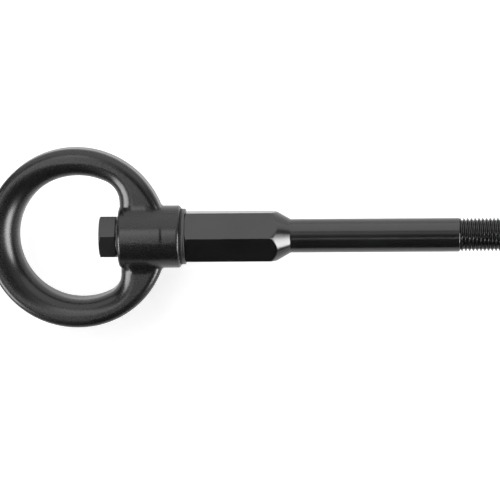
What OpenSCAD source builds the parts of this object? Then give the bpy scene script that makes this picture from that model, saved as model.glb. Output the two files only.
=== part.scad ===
// Screw-in tow eye: a forged ring that swivels on a bolt at the end of a hexagonal shaft.
// The shaft runs along +X. The origin is on its axis, at the shoulder where the thread starts.
// The piece lies as it rests on a bench, with +Z up and the ring close to the XY plane.

/* [Threaded end] */
// Major diameter of the thread, drawn here as a plain cylinder
thread_d = 17.8; // [14:0.1:24]
// Length of the thread beyond the shoulder
thread_l = 38; // [20:1:60]
// Chamfer at the tip of the thread
thread_tip_chamfer = 1.6; // [0.5:0.1:3]

/* [Shank] */
// Diameter of the round shank
shank_d = 18; // [15:0.5:24]
// Length of the round shank, from the taper to the shoulder
shank_l = 90.1; // [30:0.1:150]
// Chamfer at the shoulder of the shank
shank_chamfer = 0.7; // [0.2:0.1:1.5]

/* [Hexagon] */
// Width of the hexagon across its flats
hex_af = 26; // [25:0.5:32]
// Length of the hexagon where its corners are full
hex_l = 45.8; // [30:0.1:90]
// Angle of the taper from the hexagon down to the shank, measured from the axis
taper_angle = 30; // [20:1:45]
// How far the corners are cut back on the end face, in the radius
hex_end_cut = 1.3; // [0.5:0.1:2]
// Turn of the hexagon about the axis, from a corner straight up
hex_roll = 6; // [0:1:30]

/* [Swivel bolt] */
// Diameter of the bolt
bolt_d = 14; // [10:0.5:16]
// Length of the bolt under its head
bolt_l = 60; // [50:1:75]
// Width of the bolt head across its flats
bolt_head_af = 21.7; // [18:0.1:24]
// Height of the bolt head
bolt_head_h = 8.7; // [5:0.1:12]
// Height of the round bearing face under the head
bearing_face_h = 0.35; // [0.2:0.05:1]
// How far the edge of the bearing face lies inside the head's flats
bearing_face_inset = 0.5; // [0.2:0.1:1]
// How far the bolt head's outer corners are cut back, in the radius
bolt_head_cut = 1.6; // [0.5:0.1:2]

/* [Washers] */
// Outside diameter of the washer under the bolt head
head_washer_d = 21.5; // [18:0.1:30]
// Thickness of the washer under the bolt head
head_washer_t = 1.3; // [0.8:0.1:3]
// Outside diameter of the two washers against the hexagon
collar_washer_d = 29.9; // [24:0.1:32]
// Thickness of the dark thrust washer that the collar turns against
thrust_washer_t = 0.9; // [0.5:0.1:2]
// Thickness of the plain steel washer against the hexagon
plain_washer_t = 1.5; // [0.8:0.1:3]

/* [Ring] */
// Outside diameter of the ring
ring_od = 96.7; // [85:0.1:120]
// Width of the ring's band at its sides, seen from above
band_w = 14.8; // [13.5:0.1:18]
// Extra width of the band at the far end, where the pull comes
far_end_extra = 2.3; // [0:0.1:4]
// Height of the ring's band
band_h = 18; // [15:0.5:22]
// Rounding of the band's outer edges
outer_round = 6.3; // [3:0.1:6.5]
// Rounding of the band's edges round the hole
inner_round = 6.5; // [3:0.1:8.2]
// Corner radius of the hole, where it meets the straight side at the hub
hole_corner_r = 12.2; // [9:0.1:15]

/* [Hub] */
// Diameter of the hub that carries the bolt
hub_d = 33.8; // [30:0.1:40]
// How far the collar stands out beyond the ring's rim, towards the washers
collar_reach = 7.6; // [5:0.1:15]
// Length of the turned collar at the shaft end of the hub
collar_l = 9.8; // [4:0.1:14]
// Step in the radius from the hub down to the collar
collar_step = 0.2; // [0.1:0.05:1]
// Distance from the ring's centre to the hub's end face
hub_face_offset = 23; // [20:0.1:26]
// Chamfer at both ends of the hub
hub_chamfer = 1; // [0.3:0.1:2]
// Fillet between the hub and the flat arms of the ring
hub_fillet = 4; // [2:0.5:6]

/* [Fits] */
// Radial clearance between the bolt and the bore of the hub
bore_clearance = 0.08; // [0.02:0.01:0.1]
// Radial clearance between the bolt and the washers
washer_clearance = 0.25; // [0.1:0.05:0.5]
// Axial play on each side of the hub, so that the ring can swivel
swivel_play = 0.1; // [0.05:0.01:0.25]
// Distance that the straight side of the hole lies behind the hub's end face
hole_side_setback = 0.4; // [0.2:0.1:1]
// Free depth of the shaft's blind hole beyond the end of the bolt
hole_reserve = 3; // [1:0.5:6]

/* [Hidden] */
$fn = 96;
// Facets of the small roundings, where the source is shown as a mesh
edge_facets = 40;

// Small overlap that keeps cuts and joined solids from ending on a shared face
overlap = 0.5;
// Small step that lets one face cross another instead of only touching it
sink = 0.03;
// Angle by which the round wall of the hole ends short of a rounded corner
seam_angle = 2;
// The same for the straight side, where the angle keeps the seam clear of the hub's flank
side_seam_angle = 6;
hexagon_sides = 6;
// Angle of the lathe's chamfer on the corners of a hexagon's end
head_chamfer_angle = 30;

coat_black = [0.09, 0.09, 0.095];
shaft_black = [0.13, 0.13, 0.135];
bolt_black = [0.16, 0.16, 0.16];
thrust_black = [0.05, 0.05, 0.05];
washer_grey = [0.24, 0.24, 0.25];

function corner_radius(across_flats) = across_flats / 2 / cos(180 / hexagon_sides);

hex_corner_r = corner_radius(hex_af);
bolt_head_corner_r = corner_radius(bolt_head_af);
bearing_face_r = bolt_head_af / 2 - bearing_face_inset;
taper_l = (hex_corner_r - shank_d / 2) / tan(taper_angle);

// Places along the axis, from the shoulder back to the bolt head
taper_end_x = -shank_l;
taper_start_x = taper_end_x - taper_l;
hex_face_x = taper_start_x - hex_l;
plain_washer_x = hex_face_x - plain_washer_t;
thrust_washer_x = plain_washer_x - thrust_washer_t;
collar_face_x = thrust_washer_x - swivel_play;
ring_r = ring_od / 2;
hub_l = ring_r - hub_face_offset + collar_reach;
hub_face_x = collar_face_x - hub_l;
head_washer_x = hub_face_x - swivel_play - head_washer_t;
bolt_seat_x = head_washer_x;
ring_centre_x = hub_face_x - hub_face_offset;

// Ring and hole, seen from above
hole_r = ring_r - band_w;
hole_centre_x = ring_centre_x + far_end_extra;
hole_side_x = hub_face_x + hole_side_setback;
corner_centre_x = hole_side_x - hole_corner_r;
corner_centre_y = sqrt(pow(hole_r - hole_corner_r, 2) - pow(corner_centre_x - hole_centre_x, 2));
corner_angle = atan2(corner_centre_y, corner_centre_x - hole_centre_x);
cut_h = band_h + 2 * overlap;

hub_r = hub_d / 2;
collar_r = hub_r - collar_step;
bore_r = bolt_d / 2 + bore_clearance;
washer_hole_r = bolt_d / 2 + washer_clearance;

// The ring has swung down about the axis until its rim is level with the underside of the hub
rim_reach = ring_r - outer_round;
rim_half_h = band_h / 2 - outer_round;
ring_swing = asin((hub_r - outer_round) / norm([rim_reach, rim_half_h])) - atan2(rim_half_h, rim_reach);

// A solid turned about the X axis, from an outline of [place along X, radius] points
module turned(outline) {
    rotate([90, 0, 90]) rotate_extrude() mirrored_outline(outline);
}

module mirrored_outline(outline) {
    polygon([for (p = outline) [p[1], p[0]]]);
}

// A plain round bar along X
module bar(x, l, r) {
    translate([x, 0, 0]) rotate([0, 90, 0]) cylinder(h = l, r = r);
}

// A hexagonal bar along X with one corner up before the turn
module hex_bar(x, l, corner_r, roll) {
    translate([x, 0, 0]) rotate([roll, 0, 0]) rotate([0, 90, 0])
        cylinder(h = l, r = corner_r, $fn = hexagon_sides);
}

module flat_washer(x, t, outer_d) {
    difference() {
        bar(x, t, outer_d / 2);
        bar(x - overlap, t + 2 * overlap, washer_hole_r);
    }
}

// Hexagon, taper, shank and threaded end turned from one bar, with a blind hole for the bolt
module hex_shaft() {
    color(shaft_black) difference() {
        intersection() {
            union() {
                hex_bar(hex_face_x - overlap, hex_l + taper_l + 2 * overlap, hex_corner_r, hex_roll);
                bar(taper_end_x, shank_l + thread_l + overlap, shank_d / 2 + overlap);
            }
            shaft_envelope();
        }
        bar(hex_face_x - overlap, blind_hole_l() + overlap, bolt_d / 2);
    }
}

function blind_hole_l() = bolt_l - (hex_face_x - bolt_seat_x) + hole_reserve;

// The outline that the lathe leaves on the bar, from the hexagon's end face to the tip
module shaft_envelope() {
    full_r = hex_corner_r + sink;
    thread_r = thread_d / 2;
    turned([
        [hex_face_x, 0],
        [hex_face_x, hex_corner_r - hex_end_cut],
        [hex_face_x + (hex_end_cut + sink) * tan(head_chamfer_angle), full_r],
        [taper_end_x - (full_r - shank_d / 2) / tan(taper_angle), full_r],
        [taper_end_x, shank_d / 2],
        [-shank_chamfer, shank_d / 2],
        [0, shank_d / 2 - shank_chamfer],
        [0, thread_r],
        [thread_l - thread_tip_chamfer, thread_r],
        [thread_l, thread_r - thread_tip_chamfer],
        [thread_l, 0]
    ]);
}

// Hex-head bolt that the ring turns on, screwed into the end of the shaft
module swivel_bolt() {
    head_x = bolt_seat_x - bearing_face_h - bolt_head_h;
    cap_r = bolt_head_corner_r + sink;
    cap_l = (bolt_head_cut + sink) * tan(head_chamfer_angle);
    color(bolt_black) union() {
        intersection() {
            hex_bar(head_x - overlap, bolt_head_h + overlap, bolt_head_corner_r, 0);
            turned([
                [head_x, 0],
                [head_x, bolt_head_corner_r - bolt_head_cut],
                [head_x + cap_l, cap_r],
                [bolt_seat_x, cap_r],
                [bolt_seat_x, 0]
            ]);
        }
        bar(bolt_seat_x - bearing_face_h - overlap, bearing_face_h + overlap, bearing_face_r);
        bar(bolt_seat_x - overlap, bolt_l + overlap, bolt_d / 2);
    }
}

module head_washer() {
    color(washer_grey) flat_washer(head_washer_x, head_washer_t, head_washer_d);
}

module thrust_washer() {
    color(thrust_black) flat_washer(thrust_washer_x, thrust_washer_t, collar_washer_d);
}

module plain_washer() {
    color(washer_grey) flat_washer(plain_washer_x, plain_washer_t, collar_washer_d);
}

// Half of the band's outline on its outer side: a disc whose rim is rounded above and below
module rim_outline() {
    difference() {
        translate([0, -band_h / 2]) square([ring_r, band_h]);
        for (side = [-1, 1]) translate([rim_reach, side * rim_half_h]) rim_corner(side);
    }
}

// The corner that a rounding takes off, beyond a quarter circle
module rim_corner(side) {
    difference() {
        on_side(side) square(outer_round + overlap);
        circle(r = outer_round, $fn = edge_facets);
    }
}

module on_side(side) {
    mirror([0, side < 0 ? 1 : 0]) children();
}

// Outline of what is cut away along a wall of the hole. The wall is at x = 0, the ring beyond it.
module hole_edge_outline() {
    straight_h = band_h / 2 - inner_round;
    translate([-overlap, -cut_h / 2]) square([overlap, cut_h]);
    for (side = [-1, 1]) on_side(side) difference() {
        translate([-overlap, straight_h]) square([inner_round + overlap, inner_round + overlap]);
        translate([inner_round, straight_h]) circle(r = inner_round, $fn = edge_facets);
    }
}

// The hole's round wall and its flared edges, ending just short of the rounded corners
module flared_arc() {
    start = corner_angle + seam_angle;
    translate([hole_centre_x, 0, 0]) rotate([0, 0, start])
        rotate_extrude(angle = 360 - 2 * start) translate([hole_r, 0]) hole_edge_outline();
}

// A rounded corner of the hole. Its full turn stays inside the hole everywhere else.
module flared_corner(side) {
    translate([corner_centre_x, side * corner_centre_y, 0])
        rotate_extrude() translate([hole_corner_r, 0]) hole_edge_outline();
}

// The straight wall at the hub and its flared edges, ending just short of the rounded corners
module flared_side() {
    half_l = corner_centre_y - hole_corner_r * sin(side_seam_angle);
    translate([hole_side_x, half_l, 0]) rotate([90, 0, 0])
        linear_extrude(height = 2 * half_l) hole_edge_outline();
}

// The middle of the hole, which ends inside the strips that the flared edges take out
module hole_middle() {
    inset = overlap / 2;
    corner_start_x = hole_centre_x + hole_r * cos(corner_angle);
    intersection() {
        translate([hole_centre_x, 0]) circle(r = hole_r - inset);
        translate([corner_start_x - 2 * hole_r, -hole_r]) square(2 * hole_r);
    }
    translate([corner_centre_x, -corner_centre_y])
        square([hole_corner_r - inset, 2 * corner_centre_y]);
    for (side = [-1, 1]) translate([corner_centre_x, side * corner_centre_y])
        circle(r = hole_corner_r - inset);
}

// The disc of the ring, less its hole: a circle closed by a straight side at the hub, with
// rounded corners between them
module holed_disc() {
    difference() {
        translate([ring_centre_x, 0, 0]) rotate_extrude() rim_outline();
        translate([0, 0, -cut_h / 2]) linear_extrude(height = cut_h) hole_middle();
        flared_arc();
        flared_corner(1);
        flared_corner(-1);
        flared_side();
    }
}

// Fillet between a flat arm and the hub, seen along the axis
module fillet_outline() {
    centre_z = band_h / 2 + hub_fillet;
    centre_y = sqrt(pow(hub_r + hub_fillet, 2) - pow(centre_z, 2));
    on_hub = [centre_y, centre_z] * hub_r / (hub_r + hub_fillet);
    difference() {
        polygon([
            [centre_y, band_h / 2 - overlap],
            [centre_y, band_h / 2],
            on_hub,
            on_hub * (hub_r - overlap) / hub_r,
            [on_hub[0] - overlap, band_h / 2 - overlap]
        ]);
        translate([centre_y, centre_z - sink]) circle(r = hub_fillet);
    }
}

// The four fillets, along the flat stretch of the arms only
module hub_fillets() {
    flat_start_x = hole_side_x + inner_round;
    flat_end_x = ring_centre_x + sqrt(pow(rim_reach, 2) - pow(hub_r, 2));
    for (side_y = [0, 1], side_z = [0, 1])
        mirror([0, side_y, 0]) mirror([0, 0, side_z])
            translate([flat_start_x, 0, 0]) rotate([90, 0, 90])
                linear_extrude(height = flat_end_x - flat_start_x) fillet_outline();
}

module hub_body() {
    step_x = collar_face_x - collar_l;
    turned([
        [hub_face_x, 0],
        [hub_face_x, hub_r - hub_chamfer],
        [hub_face_x + hub_chamfer, hub_r],
        [step_x, hub_r],
        [step_x + collar_step, collar_r],
        [collar_face_x - hub_chamfer, collar_r],
        [collar_face_x, collar_r - hub_chamfer],
        [collar_face_x, 0]
    ]);
}

// The forged ring with its hub: one piece, bored through for the bolt
module tow_ring() {
    color(coat_black) rotate([ring_swing, 0, 0]) difference() {
        union() {
            holed_disc();
            hub_body();
            hub_fillets();
        }
        bar(hub_face_x - overlap, hub_l + 2 * overlap, bore_r);
    }
}

hex_shaft();
swivel_bolt();
head_washer();
thrust_washer();
plain_washer();
tow_ring();
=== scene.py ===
"""Looks of the screw-in tow eye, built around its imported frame.

Sizes are in metres. The shaft lies along X, with its thread at the +X end, and Z is up.
"""

import math

import bpy
import numpy as np
from bpy.props import FloatProperty, FloatVectorProperty, IntProperty, PointerProperty
from bpy.types import Operator, Panel, PropertyGroup
from mathutils import Matrix, Vector


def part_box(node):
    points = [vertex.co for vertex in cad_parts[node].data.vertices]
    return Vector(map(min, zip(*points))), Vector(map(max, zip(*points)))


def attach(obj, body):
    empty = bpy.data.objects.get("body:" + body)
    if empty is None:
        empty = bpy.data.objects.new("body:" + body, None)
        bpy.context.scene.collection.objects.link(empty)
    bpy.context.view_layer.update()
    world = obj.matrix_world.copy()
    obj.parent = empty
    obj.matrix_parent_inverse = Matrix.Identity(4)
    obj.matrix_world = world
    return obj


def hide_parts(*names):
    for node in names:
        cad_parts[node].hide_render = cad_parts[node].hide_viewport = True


bl_info = {
    "name": "Tow Eye Looks",
    "version": (1, 0, 0),
    "blender": (4, 5, 0),
    "location": "View3D > Sidebar > Tow Eye",
    "description": "Builds the shaft, bolt, washers, ring and stage of a screw-in tow eye",
    "category": "Object",
}

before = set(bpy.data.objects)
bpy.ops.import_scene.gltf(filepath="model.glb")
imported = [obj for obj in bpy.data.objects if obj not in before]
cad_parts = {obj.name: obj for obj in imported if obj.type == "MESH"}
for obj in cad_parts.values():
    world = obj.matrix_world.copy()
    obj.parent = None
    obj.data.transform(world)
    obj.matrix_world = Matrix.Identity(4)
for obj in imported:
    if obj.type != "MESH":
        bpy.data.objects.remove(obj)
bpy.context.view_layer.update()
SHAFT_LOW, SHAFT_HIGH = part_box("hex_shaft")
BOLT_LOW, BOLT_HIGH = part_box("swivel_bolt")
HEAD_WASHER_LOW, HEAD_WASHER_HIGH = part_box("head_washer")
THRUST_LOW, THRUST_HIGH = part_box("thrust_washer")
PLAIN_LOW, PLAIN_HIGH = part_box("plain_washer")
RING_LOW, RING_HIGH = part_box("tow_ring")

MM = 0.001
HEX_SIDES = 6
HALF_SIDE = math.pi / HEX_SIDES


# Sizes and colours that a user would change


def length(name, description, default):
    """A length in metres, shown in the scene's own unit"""
    return FloatProperty(
        name=name, description=description, default=default, min=0.0, precision=5,
        subtype="DISTANCE", unit="LENGTH",
    )


def tilt(name, description, degrees):
    """An angle, given in degrees"""
    return FloatProperty(
        name=name, description=description, default=math.radians(degrees),
        subtype="ANGLE", unit="ROTATION",
    )


def position(name, description, default):
    """A place along one axis, in metres"""
    return FloatProperty(
        name=name, description=description, default=default, subtype="DISTANCE", unit="LENGTH"
    )


def colour(name, description, default):
    """A colour without alpha"""
    return FloatVectorProperty(
        name=name, description=description, default=default,
        size=3, min=0.0, max=1.0, subtype="COLOR",
    )


class TowEyeShaftSizes(PropertyGroup):
    """Sizes of the hexagon, taper, shank and thread"""

    hexagon_width: length("Hexagon Width", "Width of the hexagon across its flats", 26 * MM)
    hexagon_roll: tilt("Hexagon Roll", "Turn of the hexagon from a corner straight up", 6)
    shank_diameter: length("Shank Diameter", "Diameter of the round shank", 18 * MM)
    shank_length: length("Shank Length", "Length of the round shank", 90.1 * MM)
    taper_length: length(
        "Taper Length", "Length of the taper from the corners to the shank", 10.406 * MM
    )
    end_cut: length("End Cut", "How far the corners are cut back on the end face", 1.3 * MM)
    hole_diameter: length("Hole Diameter", "Diameter of the blind hole for the bolt", 14 * MM)
    hole_depth: length("Hole Depth", "Depth of the blind hole", 26.1 * MM)
    shoulder_chamfer: length("Shoulder Chamfer", "Chamfer at the end of the shank", 0.7 * MM)
    thread_diameter: length("Thread Diameter", "Outside diameter of the thread", 17.8 * MM)
    thread_pitch: length("Thread Pitch", "Distance from one turn to the next", 2 * MM)
    thread_depth: length("Thread Depth", "Depth of the thread", 1.25 * MM)
    tip_chamfer: length("Tip Chamfer", "Chamfer at the tip of the thread", 1.6 * MM)
    steps_per_turn: IntProperty(
        name="Steps per Turn", description="Rows of faces along one turn of the thread",
        default=16, min=6, max=32,
    )


class TowEyeBoltSizes(PropertyGroup):
    """Sizes of the swivel bolt and the washers"""

    head_width: length("Head Width", "Width of the bolt head across its flats", 21.7 * MM)
    head_cut: length("Head Cut", "How far the head's corners are cut back", 1.6 * MM)
    bearing_height: length("Bearing Height", "Height of the round face under the head", 0.35 * MM)
    bearing_inset: length("Bearing Inset", "How far that face lies inside the flats", 0.5 * MM)
    seat_place: position(
        "Seat Place", "Place of the underside of the head along X", HEAD_WASHER_LOW.x
    )
    bolt_diameter: length("Bolt Diameter", "Diameter of the bolt", 14 * MM)
    washer_hole: length("Washer Hole", "Diameter of the holes in the washers", 14.5 * MM)


class TowEyeRingSizes(PropertyGroup):
    """Sizes of the ring and its hub"""

    outside_diameter: length("Outside Diameter", "Outside diameter of the ring", 97.2 * MM)
    band_width: length("Band Width", "Width of the band at its sides", 14.8 * MM)
    band_height: length("Band Height", "Height of the band", 18 * MM)
    far_end_extra: length("Far End Extra", "How far the hole sits towards the hub", 1.7 * MM)
    outer_rounding: length("Outer Rounding", "Rounding of the outer upper edge", 4.5 * MM)
    under_rounding: length("Under Rounding", "Rounding of the outer lower edge", 7 * MM)
    inner_rounding: length("Inner Rounding", "Rounding of the hole's upper edge", 7.8 * MM)
    far_rounding: length("Far Rounding", "Rounding of that edge at the ring's far end", 13 * MM)
    lower_rounding: length("Lower Rounding", "Rounding of the hole's lower edge", 2.5 * MM)
    wall_draft: tilt("Wall Draft", "How far the lower half of the hole's wall leans inwards", 2)
    corner_radius: length("Corner Radius", "Radius of the hole's corners at the hub", 12.2 * MM)
    hub_diameter: length("Hub Diameter", "Diameter of the hub", 33.8 * MM)
    hub_chamfer: length("Hub Chamfer", "Chamfer at both ends of the hub", 1 * MM)
    hub_offset: length(
        "Hub Offset", "Distance from the ring's centre to the end of the hub", 23 * MM
    )
    side_setback: length(
        "Side Setback", "How far the straight side lies behind the end of the hub", 0.4 * MM
    )
    collar_length: length("Collar Length", "Length of the turned collar", 9.8 * MM)
    collar_step: length("Collar Step", "Step in the radius from the hub to the collar", 0.2 * MM)
    blend_radius: length(
        "Blend Radius", "Radius of the blend between the arms and the hub", 4 * MM
    )
    bore_radius: length("Bore Radius", "Radius of the bore for the bolt", 7.08 * MM)
    swing: tilt("Swing", "How far the ring has swung down about the shaft", 10.8961)
    cell: length("Cell", "Size of the cells that the skin is drawn in", 0.52 * MM)


class TowEyeFinishes(PropertyGroup):
    """Colours of the coats and of the steel"""

    ring_colour: colour("Ring", "Coat of the ring", (0.0085, 0.0085, 0.0085))
    shaft_colour: colour("Shaft", "Coat of the shaft", (0.0100, 0.0102, 0.0105))
    bolt_colour: colour("Bolt", "Finish of the bolt", (0.0072, 0.0070, 0.0068))
    washer_colour: colour("Washers", "Finish of the steel washers", (0.033, 0.033, 0.034))
    thrust_colour: colour("Thrust Washer", "Plastic of the thrust washer", (0.010, 0.010, 0.010))


class TowEyeStageSizes(PropertyGroup):
    """Camera, floor and lamps"""

    camera_distance: length(
        "Camera Distance", "Distance from the camera to the middle of the picture", 1.103
    )
    camera_yaw: tilt("Camera Yaw", "How far the camera leans towards the ring", -2.9)
    camera_roll: tilt("Camera Roll", "Turn of the picture", 0.34)
    focal_length: FloatProperty(
        name="Focal Length", description="Focal length for a 36 mm picture",
        default=148.5, min=1.0, subtype="DISTANCE_CAMERA",
    )
    middle_x: position(
        "Middle X", "Place on the shaft's axis in the middle of the picture", -111.97 * MM
    )
    middle_y: position(
        "Middle Y", "How far the middle of the picture lies below the axis", -7.45 * MM
    )
    floor_height: position(
        "Floor Height", "Height of the floor, under the ring however it is turned",
        RING_LOW.y - 1 * MM,
    )


# Meshes


def add_mesh(name, vertices, faces, material, smooth_angle=35.0):
    """Links a new object, at the origin, whose mesh is shaded smooth except at sharp edges"""
    mesh = bpy.data.meshes.new(name)
    corners = [tuple(int(i) for i in face) for face in faces]
    mesh.from_pydata([tuple(v) for v in vertices], [], corners)
    mesh.validate()
    mesh.materials.append(material)
    mesh.polygons.foreach_set("use_smooth", [True] * len(mesh.polygons))
    mesh.set_sharp_from_angle(angle=math.radians(smooth_angle))
    mesh.update()
    piece = bpy.data.objects.new(name, mesh)
    bpy.context.scene.collection.objects.link(piece)
    return piece


def round_max(a, b, radius):
    """What two shapes share, with its edge rounded"""
    round_part = np.hypot(np.maximum(a + radius, 0), np.maximum(b + radius, 0))
    return np.minimum(-radius, np.maximum(a, b)) + round_part


def round_min(a, b, radius):
    """Two shapes together, with a fillet between them"""
    return -round_max(-a, -b, radius)


def smooth_step(t):
    """Eases from 0 to 1"""
    t = np.clip(t, 0, 1)
    return t * t * (3 - 2 * t)


# The most of a side that the easing of one of its corners may use
EASING_SHARE = 0.45


def eased(outline, radius, steps=3):
    """An outline of (place, radius) points with each corner rounded a little"""
    points = [outline[0]]
    for before, here, after in zip(outline, outline[1:], outline[2:]):
        here, before, after = (np.array(p, float) for p in (here, before, after))
        to_before, to_after = before - here, after - here
        far_before, far_after = np.linalg.norm(to_before), np.linalg.norm(to_after)
        reach = min(radius, EASING_SHARE * far_before, EASING_SHARE * far_after)
        start = here + to_before / far_before * reach
        end = here + to_after / far_after * reach
        for t in np.linspace(0, 1, steps + 1):
            points.append(tuple((1 - t) ** 2 * start + 2 * t * (1 - t) * here + t**2 * end))
    points.append(outline[-1])
    return points


def denser(outline, start, end, step):
    """The outline with extra points on the sides that lie between two places"""
    points = [outline[0]]
    for (place_0, radius_0), (place_1, radius_1) in zip(outline, outline[1:]):
        inside = start <= min(place_0, place_1) and max(place_0, place_1) <= end
        count = max(1, round(abs(place_1 - place_0) / step)) if inside else 1
        for i in range(1, count + 1):
            t = i / count
            place = place_0 + t * (place_1 - place_0)
            points.append((place, radius_0 + t * (radius_1 - radius_0)))
    return points


# Where the first points of a hexagon's side lie, as shares of the rounding of its corner
CORNER_SHARES = (0.0, 0.35, 0.7, 1.0)


def hexagon_section(flats, rounding, count=9):
    """Angles round a hexagon with rounded corners, off a corner, and its radius at each"""
    corner = flats / 2 / math.cos(HALF_SIDE)
    centre = corner - rounding / math.cos(HALF_SIDE)
    turn = math.atan2(rounding * math.sin(HALF_SIDE), centre + rounding * math.cos(HALF_SIDE))
    side = [turn * share for share in CORNER_SHARES]
    half = np.array(side + list(np.linspace(turn, HALF_SIDE, count + 1)[1:]))
    one = np.concatenate([half, 2 * HALF_SIDE - half[-2:0:-1]])
    angles = np.concatenate([one + 2 * HALF_SIDE * i for i in range(HEX_SIDES)])
    off = np.abs((angles + HALF_SIDE) % (2 * HALF_SIDE) - HALF_SIDE)
    flat = flats / 2 / np.cos(HALF_SIDE - off)
    past_centre = np.sqrt(np.maximum(rounding**2 - (centre * np.sin(off)) ** 2, 0))
    return angles, np.where(off < turn, centre * np.cos(off) + past_centre, flat)


# Rounding of the edge where a turned cone or face cuts the flats
CUT_EDGE = 0.18 * MM


def turned_mesh(outline, angles, roll=0.0, limits=None, closed=False):
    """Vertices and faces turned round X, with no point beyond the radius in limits"""
    vertices, rings = [], []
    for place, radius in outline:
        if radius <= 0:
            rings.append([len(vertices)])
            vertices.append((place, 0.0, 0.0))
            continue
        reach = np.full(len(angles), radius)
        if limits is not None:
            reach = round_min(reach, limits, CUT_EDGE)
        rings.append(list(range(len(vertices), len(vertices) + len(angles))))
        for r, a in zip(reach, angles):
            vertices.append((place, -r * math.sin(a + roll), r * math.cos(a + roll)))
    faces = []
    pairs = list(zip(rings, rings[1:])) + ([(rings[-1], rings[0])] if closed else [])
    for low, high in pairs:
        for i in range(len(angles)):
            j = (i + 1) % len(angles)
            if len(low) == 1 and len(high) > 1:
                faces.append((low[0], high[j], high[i]))
            elif len(high) == 1 and len(low) > 1:
                faces.append((low[i], low[j], high[0]))
            elif len(low) > 1:
                faces.append((low[i], low[j], high[j], high[i]))
    return np.array(vertices), faces


# Faces round a washer
WASHER_STEPS = 120


def turned_washer(name, low, high, hole, material, easing):
    """A flat washer with eased edges that fills a node's box"""
    outer = (high.z - low.z) / 2
    inner = hole / 2
    middle = (low.x + high.x) / 2
    outline = [
        (middle, inner), (low.x, inner), (low.x, outer),
        (high.x, outer), (high.x, inner), (middle, inner),
    ]
    angles = np.linspace(0, 2 * math.pi, WASHER_STEPS, endpoint=False)
    vertices, faces = turned_mesh(eased(outline, easing)[:-1], angles, closed=True)
    return add_mesh(name, vertices, faces, material)


def skin(distance, low, high, cell):
    """Closed mesh where a distance is zero, with one vertex in each cell that it crosses"""
    counts = np.ceil((high - low) / cell).astype(int) + 1
    axes = [low[i] + cell * np.arange(counts[i]) for i in range(3)]
    value = distance(np.stack(np.meshgrid(*axes, indexing="ij"), axis=-1))
    inside = value < 0
    spans = (slice(None, -1), slice(1, None))
    filled = sum(
        inside[a, b, c].astype(np.int8) for a in spans for b in spans for c in spans
    )
    mixed = (filled > 0) & (filled < 8)
    cells = np.argwhere(mixed)
    number = np.full(mixed.shape, -1)
    number[tuple(cells.T)] = np.arange(len(cells))
    total, count = np.zeros((len(cells), 3)), np.zeros(len(cells))
    for axis in range(3):
        for side in ((0, 0), (0, 1), (1, 0), (1, 1)):
            start = np.insert(np.array(side), axis, 0)
            end = np.insert(np.array(side), axis, 1)
            a, b = value[tuple((cells + start).T)], value[tuple((cells + end).T)]
            crossed = (a < 0) != (b < 0)
            t = np.where(crossed, a / np.where(crossed, a - b, 1), 0)
            point = cells + start + t[:, None] * (end - start)
            total += point * crossed[:, None]
            count += crossed
    vertices = low + cell * total / count[:, None]
    faces = []
    for axis in range(3):
        u, v = (axis + 1) % 3, (axis + 2) % 3
        first = np.take(inside, range(counts[axis] - 1), axis=axis)
        second = np.take(inside, range(1, counts[axis]), axis=axis)
        edges = np.argwhere(first != second)
        edges = edges[(edges[:, u] > 0) & (edges[:, v] > 0)]
        step_u, step_v = np.eye(3, dtype=int)[u], np.eye(3, dtype=int)[v]
        around = ((0, 0), (1, 0), (1, 1), (0, 1))
        quad = np.stack(
            [number[tuple((edges - a * step_u - b * step_v).T)] for a, b in around], axis=1
        )
        outward = first[tuple(edges.T)]
        faces.append(np.where(outward[:, None], quad, quad[:, ::-1]))
    return vertices, np.concatenate(faces)


# How the skin is evened out: rounds, share of the way to the neighbours, pulls to the surface
# after each round, reach of the slope's measurement, and the least slope that a pull reckons with
EVENING_ROUNDS = 3
EVENING_SHARE = 0.5
PULLS = 3
NUDGE = 0.02 * MM
LEAST_SLOPE = 0.5


def settle(vertices, faces, distance):
    """Evens out the vertices and puts each one exactly on the surface"""
    pairs = np.concatenate([faces[:, [i, (i + 1) % 4]] for i in range(4)])
    pairs = np.concatenate([pairs, pairs[:, ::-1]])
    here, there = pairs[:, 0], pairs[:, 1]
    count = np.bincount(here, minlength=len(vertices))[:, None]
    for turn in range(EVENING_ROUNDS + 1):
        if turn:
            sums = [np.bincount(here, vertices[there, i], len(vertices)) for i in range(3)]
            near = np.stack(sums, axis=1)
            vertices = vertices + EVENING_SHARE * (near / count - vertices)
        for _ in range(PULLS):
            slopes = [
                (distance(vertices + NUDGE * e) - distance(vertices - NUDGE * e)) / (2 * NUDGE)
                for e in np.eye(3)
            ]
            slope = np.stack(slopes, axis=1)
            size = np.maximum((slope**2).sum(axis=1), LEAST_SLOPE**2)
            vertices = vertices - (distance(vertices) / size)[:, None] * slope
    return vertices


# Nodes


def put(tree, socket, value):
    """Sets a socket's value, or links another socket to it"""
    if isinstance(value, bpy.types.NodeSocket):
        tree.links.new(value, socket)
    else:
        socket.default_value = value


def add_node(tree, kind, values=None):
    """Adds a node and puts values into its named sockets"""
    made = tree.nodes.new(kind)
    for name, value in (values or {}).items():
        put(tree, made.inputs[name], value)
    return made


def maths(tree, operation, *values):
    """Adds a maths node and gives its output"""
    made = tree.nodes.new("ShaderNodeMath")
    made.operation = operation
    for socket, value in zip(made.inputs, values):
        put(tree, socket, value)
    return made.outputs[0]


# Geometry Nodes for the thread

THREAD_INPUTS = {
    "NodeSocketFloat": (
        "Diameter", "Pitch", "Depth", "Start", "Length", "Tip Chamfer",
        "Crest Share", "Root Share",
    ),
    "NodeSocketInt": ("Steps", "Steps Around"),
    "NodeSocketMaterial": ("Material",),
}
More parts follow.
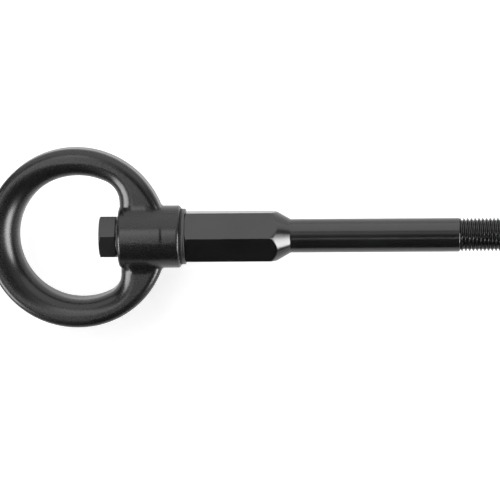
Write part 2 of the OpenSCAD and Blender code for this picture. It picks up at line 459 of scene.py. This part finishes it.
# The grid lies from -0.5 to 0.5, and its first and last rows are drawn in to the axis as ends
GRID_HALF = 0.5
ROWS_INSIDE = 0.4999
MERGE_REACH = 0.001 * MM


def thread_tree():
    """A grid that is wrapped into a screw thread, with a chamfer at its tip"""
    tree = bpy.data.node_groups.new("Screw Thread", "GeometryNodeTree")
    for kind, names in THREAD_INPUTS.items():
        for name in names:
            tree.interface.new_socket(name=name, in_out="INPUT", socket_type=kind)
    tree.interface.new_socket(name="Mesh", in_out="OUTPUT", socket_type="NodeSocketGeometry")
    inputs = tree.nodes.new("NodeGroupInput").outputs

    grid = add_node(tree, "GeometryNodeMeshGrid", {
        "Size X": 1.0, "Size Y": 1.0,
        "Vertices X": inputs["Steps"], "Vertices Y": inputs["Steps Around"],
    })
    here = tree.nodes.new("GeometryNodeInputPosition").outputs[0]
    place = add_node(tree, "ShaderNodeSeparateXYZ", {"Vector": here}).outputs
    along = maths(tree, "ADD", place["X"], GRID_HALF)
    around = maths(tree, "ADD", place["Y"], GRID_HALF)
    distance = maths(tree, "MULTIPLY", along, inputs["Length"])
    x = maths(tree, "ADD", distance, inputs["Start"])

    turns = maths(tree, "DIVIDE", x, inputs["Pitch"])
    phase = maths(tree, "SUBTRACT", turns, around)
    wave = maths(tree, "MULTIPLY", maths(tree, "PINGPONG", phase, 0.5), 2.0)
    flats = maths(tree, "ADD", inputs["Crest Share"], inputs["Root Share"])
    past_crest = maths(tree, "SUBTRACT", wave, inputs["Crest Share"])
    fall = maths(tree, "DIVIDE", past_crest, maths(tree, "SUBTRACT", 1.0, flats))
    fall = maths(tree, "MINIMUM", maths(tree, "MAXIMUM", fall, 0.0), 1.0)

    radius = maths(tree, "MULTIPLY", inputs["Diameter"], 0.5)
    surface = maths(tree, "SUBTRACT", radius, maths(tree, "MULTIPLY", fall, inputs["Depth"]))
    to_tip = maths(tree, "SUBTRACT", inputs["Length"], distance)
    cone = maths(tree, "ADD", maths(tree, "SUBTRACT", radius, inputs["Tip Chamfer"]), to_tip)
    surface = maths(tree, "MINIMUM", surface, cone)
    inside = maths(tree, "LESS_THAN", maths(tree, "ABSOLUTE", place["X"]), ROWS_INSIDE)
    surface = maths(tree, "MULTIPLY", surface, inside)

    turn = maths(tree, "MULTIPLY", around, 2 * math.pi)
    point = add_node(tree, "ShaderNodeCombineXYZ", {
        "X": x,
        "Y": maths(tree, "MULTIPLY", surface, maths(tree, "COSINE", turn)),
        "Z": maths(tree, "MULTIPLY", surface, maths(tree, "SINE", turn)),
    })
    moved = add_node(tree, "GeometryNodeSetPosition", {
        "Geometry": grid.outputs["Mesh"], "Position": point.outputs[0],
    })
    merged = add_node(tree, "GeometryNodeMergeByDistance", {
        "Geometry": moved.outputs[0], "Distance": MERGE_REACH,
    })
    flipped = add_node(tree, "GeometryNodeFlipFaces", {"Mesh": merged.outputs[0]})
    real = add_node(tree, "GeometryNodeRealizeInstances", {"Geometry": flipped.outputs[0]})
    painted = add_node(tree, "GeometryNodeSetMaterial", {
        "Geometry": real.outputs[0], "Material": inputs["Material"],
    })
    add_node(tree, "NodeGroupOutput", {"Mesh": painted.outputs[0]})
    return tree


def grown_mesh(tree, values):
    """The mesh that a tree of nodes makes from named values, as vertices and faces"""
    carrier = bpy.data.objects.new("carrier", bpy.data.meshes.new("carrier"))
    bpy.context.scene.collection.objects.link(carrier)
    modifier = carrier.modifiers.new("Nodes", "NODES")
    modifier.node_group = tree
    for item in tree.interface.items_tree:
        if item.item_type == "SOCKET" and item.in_out == "INPUT":
            modifier[item.identifier] = values[item.name]
    evaluated = carrier.evaluated_get(bpy.context.evaluated_depsgraph_get())
    result = bpy.data.meshes.new_from_object(evaluated)
    carrier.modifiers.remove(modifier)
    vertices = np.array([v.co[:] for v in result.vertices])
    faces = [tuple(p.vertices) for p in result.polygons]
    bpy.data.objects.remove(carrier)
    bpy.data.meshes.remove(result)
    if not faces:
        raise RuntimeError(f"the tree {tree.name} made no faces")
    return vertices, faces


# Materials


def shader_group(name, inputs, outputs):
    """An empty group of shader nodes with named sockets"""
    group = bpy.data.node_groups.new(name, "ShaderNodeTree")
    for socket, default in inputs.items():
        made = group.interface.new_socket(
            name=socket, in_out="INPUT", socket_type="NodeSocketFloat"
        )
        made.default_value = default
    for socket in outputs:
        group.interface.new_socket(name=socket, in_out="OUTPUT", socket_type="NodeSocketFloat")
    return group


def coat_grain_group():
    """Fine grain and faint clouds of a sprayed coat, as a height and a roughness"""
    if "Coat Grain" in bpy.data.node_groups:
        return bpy.data.node_groups["Coat Grain"]
    group = shader_group(
        "Coat Grain",
        {"Grain Size": 0.6 * MM, "Cloud Size": 20 * MM, "Roughness": 0.3, "Unevenness": 0.05},
        ("Height", "Roughness", "Cloud"),
    )
    inlet = group.nodes.new("NodeGroupInput").outputs
    place = group.nodes.new("ShaderNodeTexCoord").outputs["Object"]

    def noise(size, detail):
        scale = maths(group, "DIVIDE", 1.0, size)
        values = {"Vector": place, "Scale": scale, "Detail": detail}
        return add_node(group, "ShaderNodeTexNoise", values).outputs["Fac"]

    grain = noise(inlet["Grain Size"], 2.0)
    cloud = noise(inlet["Cloud Size"], 3.0)
    centred = maths(group, "SUBTRACT", maths(group, "ADD", grain, cloud), 1.0)
    rough = maths(group, "MULTIPLY_ADD", centred, inlet["Unevenness"], inlet["Roughness"])
    add_node(group, "NodeGroupOutput", {"Height": grain, "Roughness": rough, "Cloud": cloud})
    return group


def tool_mark_group():
    """Fine rings that a lathe leaves round the X axis, as a height"""
    if "Tool Marks" in bpy.data.node_groups:
        return bpy.data.node_groups["Tool Marks"]
    group = shader_group("Tool Marks", {"Ring Width": 0.4 * MM}, ("Height",))
    inlet = group.nodes.new("NodeGroupInput").outputs
    place = group.nodes.new("ShaderNodeTexCoord").outputs["Object"]
    split = add_node(group, "ShaderNodeSeparateXYZ", {"Vector": place})
    marks = group.nodes.new("ShaderNodeTexNoise")
    marks.noise_dimensions = "1D"
    marks.inputs["Detail"].default_value = 3.0
    marks.inputs["Scale"].default_value = 1.0
    put(group, marks.inputs["W"], maths(group, "DIVIDE", split.outputs["X"], inlet["Ring Width"]))
    add_node(group, "NodeGroupOutput", {"Height": marks.outputs["Fac"]})
    return group


# How far a finish's colour drifts each way, over what range of the clouds, and their size
TINT_DRIFT = 0.2
DRIFT_RANGE = (0.3, 0.7)
CLOUD_SIZE = 18 * MM


def finish(name, tint, roughness, grain_size, grain_depth, unevenness, specular=0.5, marks=0.0):
    """A black finish: its colour drifts a little, and grain and tool marks break up its shine"""
    material = bpy.data.materials.new(name)
    material.use_nodes = True
    tree = material.node_tree
    grain = tree.nodes.new("ShaderNodeGroup")
    grain.node_tree = coat_grain_group()
    for socket, value in (
        ("Grain Size", grain_size), ("Cloud Size", CLOUD_SIZE),
        ("Roughness", roughness), ("Unevenness", unevenness),
    ):
        grain.inputs[socket].default_value = value
    ramp = add_node(tree, "ShaderNodeValToRGB", {"Fac": grain.outputs["Cloud"]})
    shares = (1 - TINT_DRIFT, 1 + TINT_DRIFT)
    for element, where, share in zip(ramp.color_ramp.elements, DRIFT_RANGE, shares):
        element.position = where
        element.color = [c * share for c in tint] + [1]
    normal = add_node(tree, "ShaderNodeBump", {
        "Strength": 1.0, "Distance": grain_depth, "Height": grain.outputs["Height"],
    })
    if marks:
        turned = tree.nodes.new("ShaderNodeGroup")
        turned.node_tree = tool_mark_group()
        normal = add_node(tree, "ShaderNodeBump", {
            "Strength": 1.0, "Distance": marks, "Height": turned.outputs["Height"],
            "Normal": normal.outputs["Normal"],
        })
    for socket, value in (
        ("Base Color", ramp.outputs["Color"]), ("Roughness", grain.outputs["Roughness"]),
        ("Normal", normal.outputs["Normal"]), ("Specular IOR Level", specular),
    ):
        put(tree, tree.nodes["Principled BSDF"].inputs[socket], value)
    return material


# The pieces

# Roundings of the hexagon's long edges, and of the other edges of the shaft and the bolt
HEXAGON_EDGE, SHAFT_EDGE = 0.4 * MM, 0.25 * MM
HEAD_EDGE, BOLT_EDGE = 0.35 * MM, 0.2 * MM
# Lengths along X in which curved edges are cut across flats, and the spacing of points in them
TAPER_MARGIN, TAPER_STEP = 1 * MM, 0.16 * MM
END_ZONE, END_STEP = 1.2 * MM, 0.1 * MM
HEAD_ZONE, HEAD_STEP = 1.4 * MM, 0.12 * MM
# Thread: shares of the pitch on its crest and its root, faces around, and start inside the shank
CREST_SHARE, ROOT_SHARE = 0.16, 0.2
THREAD_STEPS = 97
THREAD_OVERLAP = 0.5 * MM
# Bolt: faces between two corners, angle of the cut corners, middle of the head, chamfer of the tip
HEAD_STEPS = 7
HEAD_CUT_ANGLE = math.radians(30)
HEAD_MIDDLE = 4 * MM
BOLT_TIP_CHAMFER = 1 * MM


class TOWEYE_OT_shaft(Operator):
    """Build the hexagonal shaft with its screw thread"""

    bl_idname = "toweye.shaft"
    bl_label = "Hexagonal Shaft"

    def execute(self, context):
        sizes, finishes = context.scene.tow_eye_shaft, context.scene.tow_eye_finishes
        coat = finish(
            "Shaft Coat", finishes.shaft_colour, roughness=0.2, grain_size=0.5 * MM,
            grain_depth=0.0015 * MM, unevenness=0.04, marks=0.0005 * MM,
        )
        angles, limits = hexagon_section(sizes.hexagon_width, HEXAGON_EDGE)
        corner = sizes.hexagon_width / 2 / math.cos(HALF_SIDE)
        face, shank = SHAFT_LOW.x, sizes.shank_diameter / 2
        taper_end = -sizes.shank_length
        slope = (corner - shank) / sizes.taper_length
        taper_start = taper_end - sizes.taper_length
        hole = sizes.hole_diameter / 2
        outline = [
            (face + sizes.hole_depth, hole), (face, hole), (face, corner - sizes.end_cut),
            (face + sizes.end_cut * slope, corner), (taper_start, corner), (taper_end, shank),
            (-sizes.shoulder_chamfer, shank), (0.0, shank - sizes.shoulder_chamfer),
        ]
        outline = eased(outline, SHAFT_EDGE)
        outline = denser(outline, taper_start - TAPER_MARGIN, taper_end + TAPER_MARGIN, TAPER_STEP)
        outline = denser(outline, face - END_ZONE, face + END_ZONE, END_STEP)
        outline = [(face + sizes.hole_depth, 0.0)] + outline + [(0.0, 0.0)]
        vertices, faces = turned_mesh(outline, angles, sizes.hexagon_roll, limits)
        thread_length = SHAFT_HIGH.x + THREAD_OVERLAP
        steps = int(thread_length / sizes.thread_pitch * sizes.steps_per_turn) + 1
        thread_vertices, thread_faces = grown_mesh(thread_tree(), {
            "Diameter": sizes.thread_diameter, "Pitch": sizes.thread_pitch,
            "Depth": sizes.thread_depth, "Start": -THREAD_OVERLAP, "Length": thread_length,
            "Tip Chamfer": sizes.tip_chamfer, "Crest Share": CREST_SHARE, "Root Share": ROOT_SHARE,
            "Steps": steps, "Steps Around": THREAD_STEPS, "Material": coat,
        })
        both = np.concatenate([vertices, thread_vertices])
        faces += [tuple(i + len(vertices) for i in face) for face in thread_faces]
        shaft = add_mesh("shaft", both, faces, coat)
        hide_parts("hex_shaft")
        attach(shaft, "shaft")
        return {"FINISHED"}


class TOWEYE_OT_bolt(Operator):
    """Build the bolt that the ring swivels on"""

    bl_idname = "toweye.bolt"
    bl_label = "Swivel Bolt"

    def execute(self, context):
        sizes, finishes = context.scene.tow_eye_bolt, context.scene.tow_eye_finishes
        coat = finish(
            "Bolt Finish", finishes.bolt_colour, roughness=0.3, grain_size=0.6 * MM,
            grain_depth=0.004 * MM, unevenness=0.05,
        )
        angles, limits = hexagon_section(sizes.head_width, HEAD_EDGE, HEAD_STEPS)
        corner = sizes.head_width / 2 / math.cos(HALF_SIDE)
        low, seat, tip = BOLT_LOW.x, sizes.seat_place, BOLT_HIGH.x
        cut_length = sizes.head_cut * math.tan(HEAD_CUT_ANGLE)
        bearing = sizes.head_width / 2 - sizes.bearing_inset
        shank = sizes.bolt_diameter / 2
        outline = [
            (low, HEAD_MIDDLE), (low, corner - sizes.head_cut), (low + cut_length, corner),
            (seat - sizes.bearing_height, corner), (seat - sizes.bearing_height, bearing),
            (seat, bearing), (seat, shank), (tip - BOLT_TIP_CHAMFER, shank),
            (tip, shank - BOLT_TIP_CHAMFER),
        ]
        outline = denser(eased(outline, BOLT_EDGE), low - HEAD_ZONE, low + HEAD_ZONE, HEAD_STEP)
        outline = [(low, 0.0)] + outline + [(tip, 0.0)]
        vertices, faces = turned_mesh(outline, angles, 0.0, limits)
        bolt = add_mesh("bolt", vertices, faces, coat)
        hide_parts("swivel_bolt")
        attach(bolt, "shaft")
        return {"FINISHED"}


class TOWEYE_OT_washers(Operator):
    """Build the three washers on the bolt"""

    bl_idname = "toweye.washers"
    bl_label = "Washers"

    def execute(self, context):
        sizes, finishes = context.scene.tow_eye_bolt, context.scene.tow_eye_finishes
        steel = finish(
            "Washer Steel", finishes.washer_colour, roughness=0.34, grain_size=0.5 * MM,
            grain_depth=0.004 * MM, unevenness=0.06, specular=0.4,
        )
        plastic = finish(
            "Thrust Plastic", finishes.thrust_colour, roughness=0.6, grain_size=0.4 * MM,
            grain_depth=0.008 * MM, unevenness=0.08, specular=0.3,
        )
        for name, node, box, material, slot, easing in (
            ("washer_under_head", "head_washer", (HEAD_WASHER_LOW, HEAD_WASHER_HIGH),
             steel, "washer_steel", 0.35 * MM),
            ("washer_thrust", "thrust_washer", (THRUST_LOW, THRUST_HIGH),
             plastic, "thrust_plastic", 0.2 * MM),
            ("washer_plain", "plain_washer", (PLAIN_LOW, PLAIN_HIGH),
             steel, "washer_steel", 0.3 * MM),
        ):
            washer = turned_washer(name, *box, sizes.washer_hole, material, easing)
            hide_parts(node)
            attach(washer, "shaft")
        return {"FINISHED"}


# Keeps a division from failing at the hole's own centre
LEAST_REACH = 0.001 * MM


def hole_distance(x, y, k):
    """Distance outwards from the hole: a circle with one straight side and rounded corners"""
    across = np.hypot(x - k["hole_x"], y)
    circle = across - k["hole_r"] + k["corner"]
    side = x - k["side_x"] + k["corner"]
    height = np.abs(y)
    share = (x - k["hole_x"]) / np.maximum(across, LEAST_REACH)
    foot = k["hole_x"] + (k["hole_r"] - k["corner"]) * share
    corner = np.hypot(x - k["corner_x"], height - k["corner_y"])
    inside = (circle < 0) & (side < 0)
    beside = (side >= 0) & (height <= k["corner_y"])
    round_part = (circle >= 0) & (foot <= k["corner_x"])
    outside = np.where(beside, side, np.where(round_part, circle, corner))
    return np.where(inside, np.maximum(circle, side), outside) - k["corner"]


# Where the section of the far end begins, as a share of the ring's radius, and how much
# tighter its outer rounding is there
FAR_START = 0.1
FAR_TIGHTER = 1.5 * MM
# Edges of the hub: its own, its chamfer's, and the width of the step to the collar
HUB_EDGE, CHAMFER_EDGE, STEP_WIDTH = 0.1 * MM, 0.2 * MM, 0.5 * MM
# The blend is a crease at the hub's end, grows to its full radius, and is tighter at the collar
CREASE, GROWTH = 0.4 * MM, 7 * MM
COLLAR_BLEND, COLLAR_REACH, COLLAR_EASE = 1 * MM, 9 * MM, 8 * MM
# The part next to the end face that is cut flat, and how far the bore reaches past that face
FACE_ROUND, FACE_NEAR, BORE_PAST = 2 * MM, 3 * MM, 2 * MM
# Gap between the head washer and the hub's end face
WASHER_GAP = 0.1 * MM
# The ring is shaded smooth at edges up to this angle, in degrees
SMOOTH_ANGLE = 50.0


def ring_distance(points, k):
    """Distance from the surface of the ring and its hub, negative inside"""
    x, y, z = points[..., 0], points[..., 1], points[..., 2]
    top, under = z - k["half_h"], -z - k["half_h"]
    far = smooth_step(FAR_START - (x - k["ring_x"]) / k["ring_r"])

    rim = np.hypot(x - k["ring_x"], y) - k["ring_r"]
    upper = round_max(rim, top, k["outer"] - FAR_TIGHTER * far)
    rim = np.maximum(upper, round_max(rim, under, k["under"]))
    wall = -hole_distance(x, y, k) + k["draft"] * np.minimum(z, 0)
    edge = round_max(wall, top, k["inner"] + (k["far"] - k["inner"]) * far)
    band = np.maximum(rim, np.maximum(edge, round_max(wall, under, k["lower"])))

    reach = np.hypot(y, z)
    step = smooth_step((x - k["step_x"]) / STEP_WIDTH + 0.5)
    barrel = reach - k["hub_r"] + k["step"] * step
    end = np.maximum(k["face_x"] - x, x - k["collar_x"])
    hub = round_max(barrel, end, HUB_EDGE)
    hub = round_max(hub, (barrel + end + k["chamfer"]) * math.sqrt(0.5), CHAMFER_EDGE)

    grown = smooth_step((x - k["face_x"]) / GROWTH)
    at_collar = smooth_step((x - k["step_x"] + COLLAR_REACH) / COLLAR_EASE)
    blend = CREASE + (k["blend"] - CREASE) * grown
    blend = blend + (COLLAR_BLEND - blend) * at_collar
    body = round_min(band, hub, blend)
    near_face = (reach < k["hub_r"] + FACE_ROUND) & (np.abs(x - k["face_x"]) < FACE_NEAR)
    body = np.where(near_face, np.maximum(body, k["face_x"] - x), body)
    return np.maximum(body, np.minimum(k["bore"] - reach, x - k["face_x"] + BORE_PAST))


class TOWEYE_OT_ring(Operator):
    """Build the forged ring with its hub"""

    bl_idname = "toweye.ring"
    bl_label = "Tow Ring"

    def execute(self, context):
        s, finishes = context.scene.tow_eye_ring, context.scene.tow_eye_finishes
        coat = finish(
            "Ring Coat", finishes.ring_colour, roughness=0.27, grain_size=0.7 * MM,
            grain_depth=0.005 * MM, unevenness=0.06, specular=0.34,
        )
        collar_x = RING_HIGH.x
        ring_r = s.outside_diameter / 2
        ring_x = HEAD_WASHER_HIGH.x + WASHER_GAP - s.hub_offset
        k = {
            "ring_r": ring_r, "ring_x": ring_x, "half_h": s.band_height / 2,
            "outer": s.outer_rounding, "under": s.under_rounding, "inner": s.inner_rounding,
            "far": s.far_rounding, "lower": s.lower_rounding, "draft": math.tan(s.wall_draft),
            "hole_r": ring_r - s.band_width, "hole_x": ring_x + s.far_end_extra,
            "side_x": ring_x + s.hub_offset + s.side_setback, "corner": s.corner_radius,
            "face_x": ring_x + s.hub_offset, "collar_x": collar_x, "hub_r": s.hub_diameter / 2,
            "step_x": collar_x - s.collar_length, "step": s.collar_step,
            "chamfer": s.hub_chamfer, "blend": s.blend_radius, "bore": s.bore_radius,
        }
        k["corner_x"] = k["side_x"] - k["corner"]
        k["corner_y"] = math.sqrt(
            (k["hole_r"] - k["corner"]) ** 2 - (k["corner_x"] - k["hole_x"]) ** 2
        )
        margin = 2 * s.cell
        low = np.array([ring_x - ring_r - margin, -ring_r - margin, -k["hub_r"] - margin])
        high = np.array([collar_x + margin, ring_r + margin, k["hub_r"] + margin])
        cell = s.cell * 1

        def distance(points):
            return ring_distance(points, k)

        vertices, faces = skin(distance, low, high, cell)
        vertices = settle(vertices, faces, distance)
        turn = np.array(Matrix.Rotation(s.swing, 3, "X"))
        ring = add_mesh("ring", vertices @ turn.T, faces, coat, SMOOTH_ANGLE)
        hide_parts("tow_ring")
        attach(ring, "ring")
        return {"FINISHED"}


# The stage


# Each lamp's name, direction and height above the horizon in degrees, distance, width and height
# in metres, and brightness, where 1 is white
LAMPS = (
    ("Broad Softbox", 88, 30.5, 1.15, (3.1, 1.32), 2.0),
    ("Thread End Light", -21, 20, 2.50, (2.3, 1.05), 20.0),
    ("Ring End Light", 205, 25, 1.25, (1.1, 0.85), 14.0),
    ("Overhead Panel", 169, 77, 1.35, (1.17, 0.36), 4.4),
    ("Dim Ceiling", 90, 75, 1.40, (2.6, 0.50), 0.8),
    ("Narrow Strip", -90, 68, 1.30, (2.2, 0.035), 6.5),
)
# These two make highlights alone, so that the others light the colours at a plain level
HIGHLIGHTS = {"Thread End Light", "Ring End Light"}


def lamp(name, target, azimuth, elevation, distance, size, radiance):
    """A rectangular soft light that faces a point"""
    around, above = math.radians(azimuth), math.radians(elevation)
    out = math.cos(above)
    way = Vector((math.cos(around) * out, math.sin(around) * out, math.sin(above)))
    side = Vector((-math.sin(around), math.cos(around), 0))
    facing = Matrix((side, way.cross(side), way)).transposed().to_4x4()
    data = bpy.data.lights.new(name, "AREA")
    data.shape = "RECTANGLE"
    data.size, data.size_y = size
    # An area light's power is its brightness times its area and pi
    data.energy = radiance * math.pi * size[0] * size[1]
    light = bpy.data.objects.new(name, data)
    light.matrix_world = Matrix.Translation(target + way * distance) @ facing
    light.visible_camera = False
    light.visible_diffuse = name not in HIGHLIGHTS
    bpy.context.scene.collection.objects.link(light)


# The floor's own grey, and the glow that makes it white for the camera and in reflections
FLOOR_GREY, FLOOR_GLOW = 0.8, 0.56
# How far the floor reaches to the left, to the right and away, and towards the front, where its
# edge keeps the lower sides dark
FLOOR_REACH, FLOOR_FRONT = 3.0, -0.44
ROOM_LIGHT = 0.05
# The camera's picture width in millimetres, and the farthest that it sees in metres
SENSOR_WIDTH, FARTHEST_SEEN = 36.0, 50.0
WHITE = (1, 1, 1, 1)


def floor_material():
    """White floor that stays white for the camera and in reflections, and keeps the shadow"""
    material = bpy.data.materials.new("Studio Floor")
    material.use_nodes = True
    tree = material.node_tree
    tree.nodes.clear()
    path = tree.nodes.new("ShaderNodeLightPath").outputs
    seen = maths(tree, "MAXIMUM", path["Is Camera Ray"], path["Is Glossy Ray"])
    seen = maths(tree, "MAXIMUM", seen, path["Is Transmission Ray"])
    strength = maths(tree, "MULTIPLY", seen, FLOOR_GLOW)
    grey = (FLOOR_GREY, FLOOR_GREY, FLOOR_GREY, 1)
    diffuse = add_node(tree, "ShaderNodeBsdfDiffuse", {"Color": grey})
    glow = add_node(tree, "ShaderNodeEmission", {"Color": WHITE, "Strength": strength})
    both = tree.nodes.new("ShaderNodeAddShader")
    put(tree, both.inputs[0], diffuse.outputs[0])
    put(tree, both.inputs[1], glow.outputs[0])
    add_node(tree, "ShaderNodeOutputMaterial", {"Surface": both.outputs[0]})
    return material


def light_world():
    """A dim room, seen as white where the camera looks past the floor"""
    world = bpy.data.worlds.new("Studio")
    bpy.context.scene.world = world
    world.use_nodes = True
    tree = world.node_tree
    seen = tree.nodes.new("ShaderNodeLightPath").outputs["Is Camera Ray"]
    background = tree.nodes["Background"].inputs
    strength = maths(tree, "MULTIPLY_ADD", seen, 1 - ROOM_LIGHT, ROOM_LIGHT)
    put(tree, background["Strength"], strength)
    put(tree, background["Color"], WHITE)


class TOWEYE_OT_stage(Operator):
    """Build the floor, the lamps and the camera"""

    bl_idname = "toweye.stage"
    bl_label = "Stage"

    def execute(self, context):
        s = context.scene.tow_eye_stage
        far, front = FLOOR_REACH, FLOOR_FRONT
        corners = ((-far, front), (far, front), (far, far), (-far, far))
        vertices = [(x, y, s.floor_height) for x, y in corners]
        floor = add_mesh("floor", vertices, [(0, 1, 2, 3)], floor_material())
        light_world()
        middle = Vector((s.middle_x, 0, 0))
        for name, *values in LAMPS:
            lamp(name, middle, *values)
        forward = Vector((math.sin(s.camera_yaw), 0, -math.cos(s.camera_yaw)))
        right = Vector((math.cos(s.camera_yaw), 0, math.sin(s.camera_yaw)))
        up = Vector((0, 1, 0))
        turn, lean = math.cos(s.camera_roll), math.sin(s.camera_roll)
        right, up = right * turn - up * lean, up * turn + right * lean
        data = bpy.data.cameras.new("Camera")
        data.sensor_width = SENSOR_WIDTH
        data.lens = s.focal_length
        data.clip_end = FARTHEST_SEEN
        camera = bpy.data.objects.new("Camera", data)
        basis = Matrix((right, up, -forward)).transposed()
        place = middle - forward * s.camera_distance + Vector((0, s.middle_y, 0))
        camera.matrix_world = Matrix.Translation(place) @ basis.to_4x4()
        context.scene.collection.objects.link(camera)
        context.scene.camera = camera
        context.scene.view_settings.view_transform = "Standard"
        return {"FINISHED"}


class TOWEYE_PT_panel(Panel):
    """Lists the operators in the order in which they are run"""

    bl_idname = "TOWEYE_PT_panel"
    bl_label = "Tow Eye"
    bl_space_type = "VIEW_3D"
    bl_region_type = "UI"
    bl_category = "Tow Eye"

    def draw(self, context):
        for operator in OPERATORS:
            self.layout.operator(operator.bl_idname)
        for name in SETTINGS:
            settings = getattr(context.scene, name)
            box = self.layout.box()
            for key in settings.bl_rna.properties.keys():
                if key not in {"rna_type", "name"}:
                    box.prop(settings, key)


OPERATORS = (TOWEYE_OT_shaft, TOWEYE_OT_bolt, TOWEYE_OT_washers, TOWEYE_OT_ring, TOWEYE_OT_stage)
SETTINGS = {
    "tow_eye_shaft": TowEyeShaftSizes,
    "tow_eye_bolt": TowEyeBoltSizes,
    "tow_eye_ring": TowEyeRingSizes,
    "tow_eye_finishes": TowEyeFinishes,
    "tow_eye_stage": TowEyeStageSizes,
}
CLASSES = (*SETTINGS.values(), *OPERATORS, TOWEYE_PT_panel)


def register():
    """Adds the classes and the settings"""
    for cls in CLASSES:
        bpy.utils.register_class(cls)
    for name, cls in SETTINGS.items():
        setattr(bpy.types.Scene, name, PointerProperty(type=cls))


def unregister():
    """Takes them away again"""
    for name in SETTINGS:
        delattr(bpy.types.Scene, name)
    for cls in reversed(CLASSES):
        bpy.utils.unregister_class(cls)


def main():
    """Builds everything"""
    register()
    bpy.ops.toweye.shaft()
    bpy.ops.toweye.bolt()
    bpy.ops.toweye.washers()
    bpy.ops.toweye.ring()
    bpy.ops.toweye.stage()


if __name__ == "__main__":
    main()
